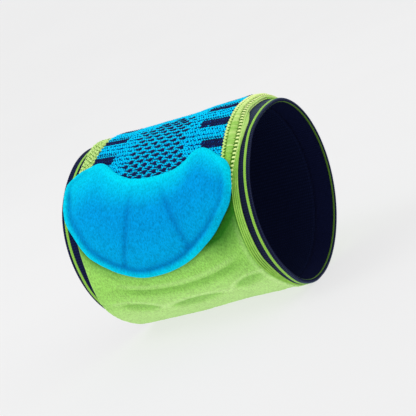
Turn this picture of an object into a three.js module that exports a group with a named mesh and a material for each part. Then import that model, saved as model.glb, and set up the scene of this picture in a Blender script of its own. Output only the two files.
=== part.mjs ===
// A sports wrist strap, closed into a sleeve and lying on its side.
//
// A thin navy lining runs all the way round the wrist.  A navy elastic band
// finishes each end.  The upper half of the outside is a patterned knit panel
// between two green knit borders, the lower half is a padded green loop-velour
// panel, and a soft blue tab with hooks on its underside closes the strap over
// the joint between the two.
//
// Millimetres, +Z up.  The sleeve's axis runs along X and the end with the
// narrower opening is at +X.  The tab faces -Y.  The origin is on the floor,
// under the middle of the object.
import * as THREE from 'three';
import { mergeVertices } from 'three/addons/utils/BufferGeometryUtils.js';

// ---------------------------------------------------------------- sizes
const LENGTH = 69;            // sleeve, from rim to rim
const FLATTEN = 0.5;          // how far the velour gives way where it rests
const FLATTEN_ROLL = 0.2;     // softness of the bend beside the flat strip
const BAND_WIDTH = 8;         // elastic end bands, along the sleeve
const BAND_WALL = 1.2;
const RIM_ROUND = 0.35;       // rounding of the bands' edges
const LINING_WALL = 0.9;
const GAP = 0.3;              // between pieces that lie on each other
const KNIT_WALL = 2;
const BORDER_WALL = 1.6;      // beside the knit
const BORDER_THIN = 1;        // beside the elastic band
const VELOUR_OUT = 1.35;      // velour, over the outer face of the bands
const VELOUR_THIN = 0.4;      // how much thinner it is towards the near end
const TAB_MARGIN = 3.2;       // sewn edge round the tab
const TAB_WALL = 1.5;         // thickness of that edge
const TAB_PAD = 0.7;          // extra height of the padded fields
const TAB_GROOVE = 0.6;       // depth of the two sewn lines across the tab
const TAB_GROOVE_HALF = 1.6;  // half width of those lines
const TAB_DROP = 0.8;         // how much lower the tab lies over the far band

// The outer face of the end bands, between a far and a near cross-section.
// radius: mean radius, ovality: share by which the long axis is longer,
// longAxis: its direction in degrees from the top towards the tab's side.
const SECTIONS = [
  { x: 0,      radius: 32.4, ovality: 0.028, longAxis: 71 },
  { x: LENGTH, radius: 29.5, ovality: 0.079, longAxis: 126 },
];
// The far rim stands out a little near the top.
const FLARE = { angle: 9, halfWidth: 24, height: 0.75, reach: BAND_WIDTH };
// It also reaches out a little further on the tab's side.
const REACH = { angle: 86, from: 24, to: 60, length: 0.85 };
// The near rim isn't a true oval: it is drawn in at the top and below the tab.
const NEAR_RIM = [
  { angle: -180, rise: 0.4 }, { angle: -140, rise: 0.5 }, { angle: -110, rise: 0.45 },
  { angle: -90, rise: 0.35 }, { angle: -66, rise: 0.2 }, { angle: -48, rise: -0.05 }, { angle: -32, rise: -0.45 },
  { angle: -20, rise: -0.95 }, { angle: -9, rise: -1.35 }, { angle: 4, rise: -1.2 },
  { angle: 18, rise: -0.55 }, { angle: 28, rise: 0 }, { angle: 45, rise: 0.15 },
  { angle: 67, rise: 0.6 }, { angle: 85, rise: 0.25 }, { angle: 96, rise: -0.1 },
  { angle: 112, rise: -0.75 }, { angle: 128, rise: -0.9 }, { angle: 145, rise: -0.05 },
  { angle: 162, rise: 0.4 }, { angle: 180, rise: 0.4 },
];
// The lower wall is a little hollow towards the near end.
const WAIST = { angle: 150, from: 15, to: 45, depth: 0.6 };

// Where the panels lie round the sleeve, degrees from the top towards the tab.
const KNIT_FROM = -86, KNIT_TO = 70;
const VELOUR_FROM = 70.7, VELOUR_TO = 273.3;

// Side edges of the knit panel and of its borders: at an angle, the knit
// starts at knitFar and ends at knitNear, and the borders reach out to
// borderFar and borderNear over the elastic bands.
const KNIT_EDGES = [
  { angle: -86, borderFar: 3.4, knitFar: 9.9, knitNear: 61.1, borderNear: 64.6 },
  { angle: -8,  borderFar: 2.8, knitFar: 10.5, knitNear: 61.9, borderNear: 65.2 },
  { angle: 2,   borderFar: 3.0, knitFar: 10.4, knitNear: 61.5, borderNear: 65.0 },
  { angle: 12,  borderFar: 4.1, knitFar: 10.25, knitNear: 61.25, borderNear: 65.3 },
  { angle: 20,  borderFar: 4.8, knitFar: 10.3, knitNear: 61.0, borderNear: 65.7 },
  { angle: 26,  borderFar: 4.9, knitFar: 10.4, knitNear: 60.8, borderNear: 65.9 },
  { angle: 38,  borderFar: 5.0, knitFar: 10.25, knitNear: 60.6, borderNear: 65.7 },
  { angle: 48,  borderFar: 5.1, knitFar: 10.1, knitNear: 60.5, borderNear: 65.0 },
  { angle: 56,  borderFar: 5.2, knitFar: 10.1, knitNear: 60.5, borderNear: 64.2 },
  { angle: 70,  borderFar: 4.9, knitFar: 10.1, knitNear: 60.5, borderNear: 63.1 },
];

// Side edges of the velour panel: it is narrow under the tab and covers more
// of the bands at the bottom.
const VELOUR_EDGES = [
  { angle: 70,  far: 4.8, near: 63.1 },
  { angle: 90,  far: 4.3, near: 62.95 },
  { angle: 105, far: 2.9, near: 63.05 },
  { angle: 121, far: 1.2, near: 63.8 },
  { angle: 140, far: 0.6, near: 65.3 },
  { angle: 180, far: 0.6, near: 66.6 },
  { angle: 230, far: 2.2, near: 65.4 },
  { angle: 274, far: 3.4, near: 64.4 },
];

// Dents pressed into the velour: centre, half lengths along and across each
// oval, its turn in degrees, and its depth.
const VELOUR_DENTS = [
  { x: 14,   angle: 126, halfLong: 7,    halfWide: 2.7, turn: -25, depth: 0.6 },
  { x: 34,   angle: 132, halfLong: 10.4, halfWide: 2.6, turn: 0,   depth: 0.6 },
  { x: 56.3, angle: 125, halfLong: 6.4,  halfWide: 2.4, turn: 20,  depth: 0.6 },
];
// A shallow pressed arc that follows the tab's lower edge.
const VELOUR_ARC = { x: 35, angle: 117.5, rise: 9.8, halfSpan: 26, halfWide: 1.9, depth: 0.45 };

// Outline of the tab: at a distance along the sleeve, its top edge and its
// bottom edge as angles.
const TAB_OUTLINE = [
  { x: 2.2,  top: 45.5, bottom: 56 },
  { x: 2.7,  top: 41.5, bottom: 63 },
  { x: 5,    top: 37.9, bottom: 72 },
  { x: 8.3,  top: 34.9, bottom: 82.9 },
  { x: 11.5, top: 33,   bottom: 88.7 },
  { x: 14.2, top: 31.7, bottom: 92.4 },
  { x: 16.3, top: 32.4, bottom: 95.2 },
  { x: 18.6, top: 35.4, bottom: 97.5 },
  { x: 21.3, top: 39.9, bottom: 99.9 },
  { x: 24.5, top: 43.9, bottom: 101.9 },
  { x: 28.8, top: 47.4, bottom: 102.9 },
  { x: 34.8, top: 49,   bottom: 102.6 },
  { x: 40.5, top: 48.9, bottom: 100.9 },
  { x: 45,   top: 47.5, bottom: 98.4 },
  { x: 48.2, top: 44.2, bottom: 95.9 },
  { x: 50.8, top: 39.6, bottom: 93.4 },
  { x: 53.7, top: 37.6, bottom: 90.5 },
  { x: 56.6, top: 39.9, bottom: 86.7 },
  { x: 60,   top: 45.6, bottom: 80.7 },
  { x: 62.7, top: 50,   bottom: 75 },
  { x: 64,   top: 54.5, bottom: 69 },
  { x: 64.4, top: 58,   bottom: 65 },
];
// The two sewn lines that part the tab's padding into three fields.
const TAB_LINES = [
  { xTop: 31.2, xBottom: 19.4 },
  { xTop: 39.4, xBottom: 47.3 },
];

// ---------------------------------------------------------------- the tube
const rad = THREE.MathUtils.degToRad;
const lerp = THREE.MathUtils.lerp;
const smoothstep = THREE.MathUtils.smoothstep;

// A column of one of the tables above, smoothly interpolated.
function column(table, key, at, value) {
  const last = table.length - 1;
  if (at <= table[0][key]) return table[0][value];
  if (at >= table[last][key]) return table[last][value];
  let i = 0;
  while (at > table[i + 1][key]) i++;
  const slope = (j) => {
    const a = table[Math.max(0, j - 1)], b = table[Math.min(last, j + 1)];
    return (b[value] - a[value]) / (b[key] - a[key]);
  };
  const h = table[i + 1][key] - table[i][key];
  const t = (at - table[i][key]) / h;
  const t2 = t * t, t3 = t2 * t;
  return (2 * t3 - 3 * t2 + 1) * table[i][value] + (t3 - 2 * t2 + t) * h * slope(i)
    + (3 * t2 - 2 * t3) * table[i + 1][value] + (t3 - t2) * h * slope(i + 1);
}

// Radius of the round, unflattened sleeve at a distance x and an angle.
function sectionRadius(section, angle) {
  return section.radius * (1 + section.ovality * Math.cos(2 * rad(angle - section.longAxis)));
}
function sleeveRadius(x, angle) {
  const turned = THREE.MathUtils.euclideanModulo(angle - FLARE.angle + 180, 360) - 180;
  const flare = FLARE.height * Math.max(0, 1 - x / FLARE.reach)
    * (1 - smoothstep(Math.abs(turned), 0, 2 * FLARE.halfWidth));
  const round = THREE.MathUtils.euclideanModulo(angle + 180, 360) - 180;
  const rim = Math.max(0, (x - LENGTH + BAND_WIDTH) / BAND_WIDTH)
    * column(NEAR_RIM, 'angle', round, 'rise');
  const beside = Math.abs(THREE.MathUtils.euclideanModulo(angle - WAIST.angle + 180, 360) - 180);
  const waist = WAIST.depth * smoothstep(x, 24, 48) * (1 - smoothstep(x, 62, LENGTH))
    * (1 - smoothstep(beside, WAIST.from, WAIST.to));
  return flare + rim - waist
    + lerp(sectionRadius(SECTIONS[0], angle), sectionRadius(SECTIONS[1], angle), x / LENGTH);
}
const velourOut = (x) => VELOUR_OUT - VELOUR_THIN * smoothstep(x, 22, 48);

// The sleeve tapers, so its axis dips towards the narrow end until the two ends
// of the velour's lowest line lie on the floor.
const REST = [1, 66];
const restRadius = (x) => sleeveRadius(x, 180) + velourOut(x);
const TILT = Math.asin((restRadius(REST[0]) - restRadius(REST[1])) / (REST[1] - REST[0]));
const AXIS_HEIGHT = lerp(
  restRadius(REST[0]), restRadius(REST[1]), (LENGTH / 2 - REST[0]) / (REST[1] - REST[0]),
) * Math.cos(TILT) - FLATTEN;

// How far the velour is pressed in by the floor at a distance x and an angle.
function pushedIn(x, angle) {
  const down = -Math.cos(rad(angle)) * Math.cos(TILT);
  if (down < 0.5) return 0;
  const height = AXIS_HEIGHT - Math.sin(TILT) * (x - LENGTH / 2);
  const under = sleeveRadius(x, angle) + velourOut(x) - height / down;
  if (under >= FLATTEN_ROLL) return under;
  return under <= -FLATTEN_ROLL ? 0 : (under + FLATTEN_ROLL) ** 2 / (4 * FLATTEN_ROLL);
}

// A point of the object: distance along the sleeve, angle, and height over
// the outer face of the end bands.
function place(x, angle, height, target) {
  const r = sleeveRadius(x, angle) + height;
  const beside = Math.abs(THREE.MathUtils.euclideanModulo(angle - REACH.angle + 180, 360) - 180);
  const reach = REACH.length * Math.max(0, 1 - x / BAND_WIDTH)
    * (1 - smoothstep(beside, REACH.from, REACH.to));
  const up = r * Math.cos(rad(angle)), along = x - reach - LENGTH / 2;
  return target.set(
    along * Math.cos(TILT) + up * Math.sin(TILT),
    -r * Math.sin(rad(angle)),
    AXIS_HEIGHT + up * Math.cos(TILT) - along * Math.sin(TILT),
  );
}

// ---------------------------------------------------------------- pieces
function closed(geometry) {
  geometry.deleteAttribute('normal');
  geometry.deleteAttribute('uv');
  geometry.clearGroups();
  const merged = mergeVertices(geometry, 1e-4);
  merged.computeVertexNormals();
  return merged;
}

// A ring round the whole sleeve.  The profile is a closed list of
// [distance along the sleeve, height over the bands' outer face].
const RING_SEGMENTS = 72;
const RING_NOMINAL = 30;
function ring(profile) {
  const points = profile.map(([x, height]) => new THREE.Vector2(RING_NOMINAL + height, x));
  points.push(points[0].clone());
  const geometry = new THREE.LatheGeometry(points, RING_SEGMENTS);
  const position = geometry.getAttribute('position'), p = new THREE.Vector3();
  for (let i = 0; i < position.count; i++) {
    p.fromBufferAttribute(position, i);
    const angle = THREE.MathUtils.radToDeg(Math.atan2(p.x, p.z));
    place(p.y, angle, Math.hypot(p.x, p.z) - RING_NOMINAL, p);
    position.setXYZ(i, p.x, p.y, p.z);
  }
  return closed(geometry);
}

// A sheet wrapped onto the sleeve: a subdivided slab whose sides become the
// distance along the sleeve, the angle round it and the height over it.
function sheet({ stepsRound, stepsAlong, at, inner, outer }) {
  const geometry = new THREE.BoxGeometry(1, 1, 1, stepsAlong, stepsRound, 1);
  const position = geometry.getAttribute('position'), p = new THREE.Vector3();
  for (let i = 0; i < position.count; i++) {
    p.fromBufferAttribute(position, i);
    const [x, angle] = at(p.x + 0.5, 0.5 - p.y);
    place(x, angle, p.z > 0 ? outer(x, angle) : inner(x, angle), p);
    position.setXYZ(i, p.x, p.y, p.z);
  }
  return closed(geometry);
}

// Elastic end band with rounded edges.
function band(from, to) {
  const r = RIM_ROUND, low = -BAND_WALL;
  return ring([
    [from, -r], [from + r, 0], [to - r, 0], [to, -r],
    [to, low + r], [to - r, low], [from + r, low], [from, low + r],
  ]);
}
const bandFar = band(0, BAND_WIDTH);
const bandNear = band(LENGTH - BAND_WIDTH, LENGTH);

// Lining between the bands, flush with their inner faces.
const liningFrom = BAND_WIDTH + GAP, liningTo = LENGTH - BAND_WIDTH - GAP;
const lining = ring([
  [liningFrom, LINING_WALL - BAND_WALL], [liningTo, LINING_WALL - BAND_WALL],
  [liningTo, -BAND_WALL], [liningFrom, -BAND_WALL],
]);

// Knit panel and its two borders.
const knitSide = (angle, key) => column(KNIT_EDGES, 'angle', angle, key);
const knitAngle = (v) => lerp(KNIT_FROM, KNIT_TO, v);
const KNIT_IN = GAP + LINING_WALL - BAND_WALL;
const KNIT_STEPS = 40;
// Underside of the panels: lower over the lining than over the bands.
const BAND_CLEAR = 3;
const panelUnder = (x) =>
  (x > liningFrom + BAND_CLEAR && x < liningTo - BAND_CLEAR ? KNIT_IN : GAP);
// The knit stands up a little more along the top.
const knitCrown = (x, angle) =>
  (1 - smoothstep(Math.abs(angle + 8), 14, 46)) * (0.5 + 0.15 * smoothstep(x, 57, 62))
    * smoothstep(x, 40, 50) * (1 - smoothstep(x, 64, 68))
  + 0.4 * (1 - smoothstep(x, 10, 17)) * (1 - smoothstep(Math.abs(angle + 14), 10, 28));
const knitPanel = sheet({
  stepsRound: KNIT_STEPS, stepsAlong: 8,
  at: (u, v) => {
    const angle = knitAngle(v);
    return [lerp(knitSide(angle, 'knitFar'), knitSide(angle, 'knitNear'), u), angle];
  },
  inner: panelUnder,
  outer: (x, angle) => KNIT_IN + KNIT_WALL + knitCrown(x, angle),
});
// A border is thick beside the knit and thins out over the elastic band.
const border = (knitKey, knitGap, thinKey) => sheet({
  stepsRound: KNIT_STEPS, stepsAlong: 2,
  at: (u, v) => {
    const angle = knitAngle(v);
    const beside = knitSide(angle, knitKey) + knitGap, thin = knitSide(angle, thinKey);
    return [lerp(Math.min(beside, thin), Math.max(beside, thin), u), angle];
  },
  inner: () => GAP,
  outer: (x, angle) => {
    const beside = knitSide(angle, knitKey), thin = knitSide(angle, thinKey);
    return GAP + lerp(BORDER_WALL, BORDER_THIN, smoothstep((x - beside) / (thin - beside), 0.2, 1))
      + knitCrown(x, angle);
  },
});
const borderFar = border('knitFar', -GAP, 'borderFar');
const borderNear = border('knitNear', GAP, 'borderNear');

// Padded velour panel with its pressed dents.
function velourDent(x, angle) {
  const radius = sleeveRadius(x, angle) + velourOut(x);
  let depth = 0;
  for (const d of VELOUR_DENTS) {
    const dx = x - d.x, ds = radius * rad(angle - d.angle), turn = rad(d.turn);
    const long = (dx * Math.cos(turn) - ds * Math.sin(turn)) / d.halfLong;
    const wide = (dx * Math.sin(turn) + ds * Math.cos(turn)) / d.halfWide;
    depth = Math.max(depth, d.depth * (1 - smoothstep(Math.hypot(long, wide), 0.35, 1.15)));
  }
  const a = VELOUR_ARC, along = (x - a.x) / a.halfSpan;
  if (Math.abs(along) < 1) {
    const off = radius * rad(angle - a.angle + a.rise * along * along);
    const end = 1 - smoothstep(Math.abs(along), 0.7, 1);
    depth = Math.max(depth, a.depth * end * (1 - smoothstep(Math.abs(off), 0, a.halfWide * 1.5)));
  }
  return depth;
}
const velourPanel = sheet({
  stepsRound: 52, stepsAlong: 14,
  at: (u, v) => {
    const angle = lerp(VELOUR_FROM, VELOUR_TO, v);
    const edge = (key) => column(VELOUR_EDGES, 'angle', angle, key);
    return [lerp(edge('far'), edge('near'), u), angle];
  },
  inner: panelUnder,
  outer: (x, angle) => velourOut(x) - velourDent(x, angle) - pushedIn(x, angle),
});

// Closing tab: a flat sewn margin round three padded fields.
const TAB_IN = Math.max(KNIT_IN + KNIT_WALL, GAP + BORDER_WALL) + GAP;
const tabFrom = TAB_OUTLINE[0].x, tabTo = TAB_OUTLINE[TAB_OUTLINE.length - 1].x;
const tabEdge = (x, key) => column(TAB_OUTLINE, 'x', x, key);
const tabUnder = (x) => TAB_IN - TAB_DROP * (1 - smoothstep(x, 3, 9));
function tabPadding(x, angle) {
  const radius = sleeveRadius(x, angle) + TAB_IN;
  const top = tabEdge(x, 'top'), bottom = tabEdge(x, 'bottom');
  const inside = Math.min(
    radius * rad(angle - top), radius * rad(bottom - angle), x - tabFrom, tabTo - x,
  );
  let height = TAB_PAD * smoothstep(inside, TAB_MARGIN * 0.5, TAB_MARGIN * 1.5);
  for (const line of TAB_LINES) {
    const share = (angle - top) / (bottom - top);
    const off = Math.abs(x - lerp(line.xTop, line.xBottom, share));
    const fade = smoothstep(share, 0.1, 0.35);
    height -= fade * Math.min(TAB_GROOVE, height) * (1 - smoothstep(off, 0, TAB_GROOVE_HALF));
  }
  return height;
}
const closureTab = sheet({
  stepsRound: 14, stepsAlong: 26,
  at: (u, v) => {
    // finer steps towards the round ends
    const x = lerp(tabFrom, tabTo, lerp(u, (1 - Math.cos(Math.PI * u)) / 2, 0.6));
    return [x, lerp(tabEdge(x, 'top'), tabEdge(x, 'bottom'), v)];
  },
  inner: tabUnder,
  outer: (x, angle) => tabUnder(x) + TAB_WALL + tabPadding(x, angle),
});

// ---------------------------------------------------------------- colours
const cloth = (color, roughness) => new THREE.MeshStandardMaterial({ color, roughness, metalness: 0 });
const navyElastic = cloth(0x14163a, 0.8);
const navyLining = cloth(0x0b0d24, 0.85);
const blueKnit = cloth(0x12aee0, 0.85);
const greenKnit = cloth(0xb4de7c, 0.85);
const greenVelour = cloth(0x8fcf58, 0.95);
const blueVelour = cloth(0x00a6e4, 0.95);

const sleeve = new THREE.Group();
sleeve.name = 'sleeve';
function add(name, geometry, material) {
  const mesh = new THREE.Mesh(geometry, material);
  mesh.name = name;
  sleeve.add(mesh);
}
add('lining', lining, navyLining);
add('edge_band_far', bandFar, navyElastic);
add('edge_band_near', bandNear, navyElastic);
add('knit_panel', knitPanel, blueKnit);
add('knit_border_far', borderFar, greenKnit);
add('knit_border_near', borderNear, greenKnit);
add('velour_panel', velourPanel, greenVelour);
add('closure_tab', closureTab, blueVelour);

// The origin goes on the floor, under the middle of the object's box.
const box = new THREE.Box3().setFromObject(sleeve);
sleeve.position.set(-(box.min.x + box.max.x) / 2, -(box.min.y + box.max.y) / 2, -box.min.z);

const strap = new THREE.Group();
strap.name = 'wrist_strap';
strap.add(sleeve);

export default strap;
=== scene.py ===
import math

import bpy
import numpy as np
from mathutils import Matrix, Vector


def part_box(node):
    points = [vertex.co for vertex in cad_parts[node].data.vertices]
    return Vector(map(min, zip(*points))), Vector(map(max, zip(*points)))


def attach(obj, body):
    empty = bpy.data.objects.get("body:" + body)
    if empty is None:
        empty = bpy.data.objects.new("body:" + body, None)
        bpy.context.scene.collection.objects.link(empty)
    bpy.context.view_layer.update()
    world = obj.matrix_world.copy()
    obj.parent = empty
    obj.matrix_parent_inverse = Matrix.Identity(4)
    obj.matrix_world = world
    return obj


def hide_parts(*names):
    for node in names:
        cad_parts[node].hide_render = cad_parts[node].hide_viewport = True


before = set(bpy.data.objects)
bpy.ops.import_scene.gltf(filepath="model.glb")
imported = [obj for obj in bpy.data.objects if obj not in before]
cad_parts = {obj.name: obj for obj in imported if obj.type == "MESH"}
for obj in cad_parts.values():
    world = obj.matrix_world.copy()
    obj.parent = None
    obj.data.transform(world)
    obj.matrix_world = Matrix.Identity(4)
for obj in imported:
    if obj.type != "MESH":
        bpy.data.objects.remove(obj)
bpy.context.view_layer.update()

rng = np.random.default_rng(20)

# ------------------------------------------------------------------ the tube
# The same sleeve as in the CAD source, in millimetres and degrees: a distance
# along the sleeve, an angle from the top towards the tab, and a height over
# the outer face of the end bands.
LENGTH = 69.0
FLATTEN, FLATTEN_ROLL = 0.5, 0.2
BAND_WIDTH, WALL = 8.0, 1.2
VELOUR_OUT, VELOUR_THIN = 1.35, 0.4
SECTIONS = ((32.4, 0.028, 71.0), (29.5, 0.079, 126.0))
FLARE_ANGLE, FLARE_HALF, FLARE_HEIGHT = 9.0, 24.0, 0.75
NEAR_RIM = (
    (-180, 0.4), (-140, 0.5), (-110, 0.45), (-90, 0.35), (-66, 0.2), (-48, -0.05), (-32, -0.45), (-20, -0.95), (-9, -1.35),
    (4, -1.2), (18, -0.55), (28, 0), (45, 0.15), (67, 0.6), (85, 0.25), (96, -0.1), (112, -0.75), (128, -0.9),
    (145, -0.05), (162, 0.4), (180, 0.4),
)
REACH_ANGLE, REACH_FROM, REACH_TO, REACH_LENGTH = 86.0, 24.0, 60.0, 0.85
WAIST_ANGLE, WAIST_FROM, WAIST_TO, WAIST_DEPTH = 150.0, 15.0, 45.0, 0.6


def smooth(v, low, high):
    t = np.clip((np.asarray(v, float) - low) / (high - low), 0.0, 1.0)
    return t * t * (3.0 - 2.0 * t)


def column(rows, at):
    """Smoothly interpolated columns of a table whose first column is the key."""
    t = np.asarray(rows, float)
    key, n = t[:, 0], len(t)
    nxt, prv = np.minimum(np.arange(n) + 1, n - 1), np.maximum(np.arange(n) - 1, 0)
    slope = (t[nxt] - t[prv]) / (key[nxt] - key[prv])[:, None]
    at = np.clip(np.asarray(at, float), key[0], key[-1])
    i = np.clip(np.searchsorted(key, at, side="right") - 1, 0, n - 2)
    h = (key[i + 1] - key[i])[..., None]
    u = (at - key[i])[..., None] / h
    u2, u3 = u * u, u * u * u
    out = (
        (2 * u3 - 3 * u2 + 1) * t[i]
        + (u3 - 2 * u2 + u) * h * slope[i]
        + (3 * u2 - 2 * u3) * t[i + 1]
        + (u3 - u2) * h * slope[i + 1]
    )
    return [out[..., c] for c in range(1, t.shape[1])]


def section(row, angle):
    radius, ovality, long_axis = row
    return radius * (1.0 + ovality * np.cos(2.0 * np.deg2rad(angle - long_axis)))


def sleeve(x, angle):
    x, angle = np.asarray(x, float), np.asarray(angle, float)
    turned = (angle - FLARE_ANGLE + 180.0) % 360.0 - 180.0
    flare = (
        FLARE_HEIGHT
        * np.maximum(0.0, 1.0 - x / BAND_WIDTH)
        * (1.0 - smooth(np.abs(turned), 0.0, 2.0 * FLARE_HALF))
    )
    rim = np.maximum(0.0, (x - LENGTH + BAND_WIDTH) / BAND_WIDTH) * column(NEAR_RIM, (angle + 180.0) % 360.0 - 180.0)[0]
    beside = np.abs((angle - WAIST_ANGLE + 180.0) % 360.0 - 180.0)
    waist = (
        WAIST_DEPTH
        * smooth(x, 24.0, 48.0)
        * (1.0 - smooth(x, 62.0, LENGTH))
        * (1.0 - smooth(beside, WAIST_FROM, WAIST_TO))
    )
    far, near = section(SECTIONS[0], angle), section(SECTIONS[1], angle)
    return flare + rim - waist + far + (near - far) * x / LENGTH


def velour_out(x):
    return VELOUR_OUT - VELOUR_THIN * smooth(x, 22.0, 48.0)


def rest_radius(x):
    return float(sleeve(x, 180.0) + velour_out(x))


REST = (1.0, 66.0)
TILT = math.asin((rest_radius(REST[0]) - rest_radius(REST[1])) / (REST[1] - REST[0]))
_share = (LENGTH / 2 - REST[0]) / (REST[1] - REST[0])
AXIS_HEIGHT = (rest_radius(REST[0]) + (rest_radius(REST[1]) - rest_radius(REST[0])) * _share) * math.cos(TILT) - FLATTEN


def pushed_in(x, angle):
    """How far the floor pushes the velour in."""
    down = -np.cos(np.deg2rad(angle)) * math.cos(TILT)
    height = AXIS_HEIGHT - math.sin(TILT) * (x - LENGTH / 2)
    low = down > 0.5
    under = np.where(low, sleeve(x, angle) + velour_out(x) - height / np.where(low, down, 1.0), -9.0)
    bend = np.where(under <= -FLATTEN_ROLL, 0.0, (under + FLATTEN_ROLL) ** 2 / (4.0 * FLATTEN_ROLL))
    return np.where(under >= FLATTEN_ROLL, under, bend)


def place_mm(x, angle, height):
    x, angle, height = np.broadcast_arrays(
        np.asarray(x, float), np.asarray(angle, float), np.asarray(height, float)
    )
    r = sleeve(x, angle) + height
    beside = np.abs((angle - REACH_ANGLE + 180.0) % 360.0 - 180.0)
    reach = REACH_LENGTH * np.maximum(0.0, 1.0 - x / BAND_WIDTH) * (1.0 - smooth(beside, REACH_FROM, REACH_TO))
    up, along = r * np.cos(np.deg2rad(angle)), x - reach - LENGTH / 2
    return np.stack(
        [
            along * math.cos(TILT) + up * math.sin(TILT),
            -r * np.sin(np.deg2rad(angle)),
            AXIS_HEIGHT + up * math.cos(TILT) - along * math.sin(TILT),
        ],
        -1,
    )


# The CAD model is centred on its box, so the sleeve's own axis is a little off
# the origin.  The far band, which reaches furthest back, gives that offset.
def _band_points(at):
    turns = np.arange(72) * 5.0
    inward = 1.0 if at == 0.0 else -1.0
    rows = [(0.0, -0.35), (0.35, 0.0), (7.65, 0.0), (8.0, -0.35), (0.35, -1.2)]
    return np.concatenate([place_mm(at + inward * dx, turns, h) for dx, h in rows])


_low, _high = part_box("edge_band_far")
_own = _band_points(0.0)
OFFSET = np.array(
    [
        (_low[0] * 1000 - _own[:, 0].min()),
        (_high[1] * 1000 - _own[:, 1].max()),
        0.0,
    ]
)


def place(x, angle, height):
    """A point of the object in metres, in the CAD frame; nothing goes under the floor."""
    p = (place_mm(x, angle, height) + OFFSET) / 1000.0
    p[..., 2] = np.maximum(p[..., 2], 0.0)
    return p


def turn_mm(x, angle, arc):
    """The angle that lies an arc of so many millimetres further round."""
    return angle + np.rad2deg(arc / (sleeve(x, angle) + 1.0))


# ------------------------------------------------------------------ tables
# angle, border's outer edge far, knit's far edge, knit's near edge, border's outer edge near
KNIT_FROM, KNIT_TO = -86.0, 70.0
KNIT_EDGES = (
    (-86, 3.4, 9.9, 61.1, 64.6),
    (-8, 2.8, 10.5, 61.9, 65.2),
    (2, 3.0, 10.4, 61.5, 65.0),
    (12, 4.1, 10.25, 61.25, 65.3),
    (20, 4.8, 10.3, 61.0, 65.7),
    (26, 4.9, 10.4, 60.8, 65.9),
    (38, 5.0, 10.25, 60.6, 65.7),
    (48, 5.1, 10.1, 60.5, 65.0),
    (56, 5.2, 10.1, 60.5, 64.2),
    (70, 4.9, 10.1, 60.5, 63.1),
)
# angle, far edge, near edge
VELOUR_FROM, VELOUR_TO = 70.7, 273.3
VELOUR_EDGES = (
    (70, 4.8, 63.1),
    (90, 4.3, 62.95),
    (105, 2.9, 63.05),
    (121, 1.2, 63.8),
    (140, 0.6, 65.3),
    (180, 0.6, 66.6),
    (230, 2.2, 65.4),
    (274, 3.4, 64.4),
)
# angle, inner edge, outer edge of the cover seam on the near band
SEAM_FROM, SEAM_TO = 5.5, 338.0
SEAM_EDGES = (
    (5, 64.6, 65.0),
    (10, 65.05, 65.75),
    (15, 65.3, 66.45),
    (20, 65.65, 66.8),
    (26, 65.8, 66.75),
    (33, 65.75, 66.5),
    (40, 65.4, 66.02),
    (48, 65.0, 65.82),
    (55, 64.25, 65.68),
    (62, 63.45, 65.55),
    (70, 63.05, 65.42),
    (80, 62.85, 65.32),
    (95, 62.85, 65.45),
    (110, 62.95, 65.65),
    (120, 63.6, 66.2),
    (130, 64.5, 66.4),
    (140, 65.2, 66.65),
    (180, 66.3, 67.2),
    (230, 65.3, 66.9),
    (274, 64.3, 66.6),
    (300, 64.5, 66.3),
    (340, 64.9, 65.9),
)
# distance along, top edge, bottom edge
TAB_OUTLINE = (
    (2.2, 45.5, 56),
    (2.7, 41.5, 63),
    (5, 37.9, 72),
    (8.3, 34.9, 82.9),
    (11.5, 33, 88.7),
    (14.2, 31.7, 92.4),
    (16.3, 32.4, 95.2),
    (18.6, 35.4, 97.5),
    (21.3, 39.9, 99.9),
    (24.5, 43.9, 101.9),
    (28.8, 47.4, 102.9),
    (34.8, 49, 102.6),
    (40.5, 48.9, 100.9),
    (45, 47.5, 98.4),
    (48.2, 44.2, 95.9),
    (50.8, 39.6, 93.4),
    (53.7, 37.6, 90.5),
    (56.6, 39.9, 86.7),
    (60, 45.6, 80.7),
    (62.7, 50, 75),
    (64, 54.5, 69),
    (64.4, 58, 65),
)
# the two sewn lines across the tab: angle, distance along
TAB_LINES = (
    ((45, 30.9), (57, 29.4), (69, 27.3), (81, 24.7), (89, 22.3), (104, 18.0)),
    ((45, 39.2), (57, 40.5), (71, 42.9), (85.5, 45.2), (92, 45.8), (104, 46.8)),
)
# dented ovals in the velour: x, angle, half length, half width, turn, depth
VELOUR_DENTS = (
    (14.0, 126.0, 7.0, 2.7, -25.0, 0.6),
    (34.0, 132.0, 10.4, 2.6, 0.0, 0.6),
    (56.3, 125.0, 6.4, 2.4, 20.0, 0.6),
)
STRIPE_OUTER, STRIPE_INNER = (1.0, 1.9), (0.25, 0.85)  # lime stripes, distance from the rim

# ------------------------------------------------------------------ meshes
PIECES = []


def volume(points, faces):
    """Signed volume of a closed mesh; negative when it is inside out."""
    total = 0.0
    for f in faces:
        for k in range(1, f.shape[1] - 1):
            a, b, c = points[f[:, 0]], points[f[:, k]], points[f[:, k + 1]]
            total += float(np.einsum("ij,ij->", a.astype(float), np.cross(b, c)))
    return total


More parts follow.
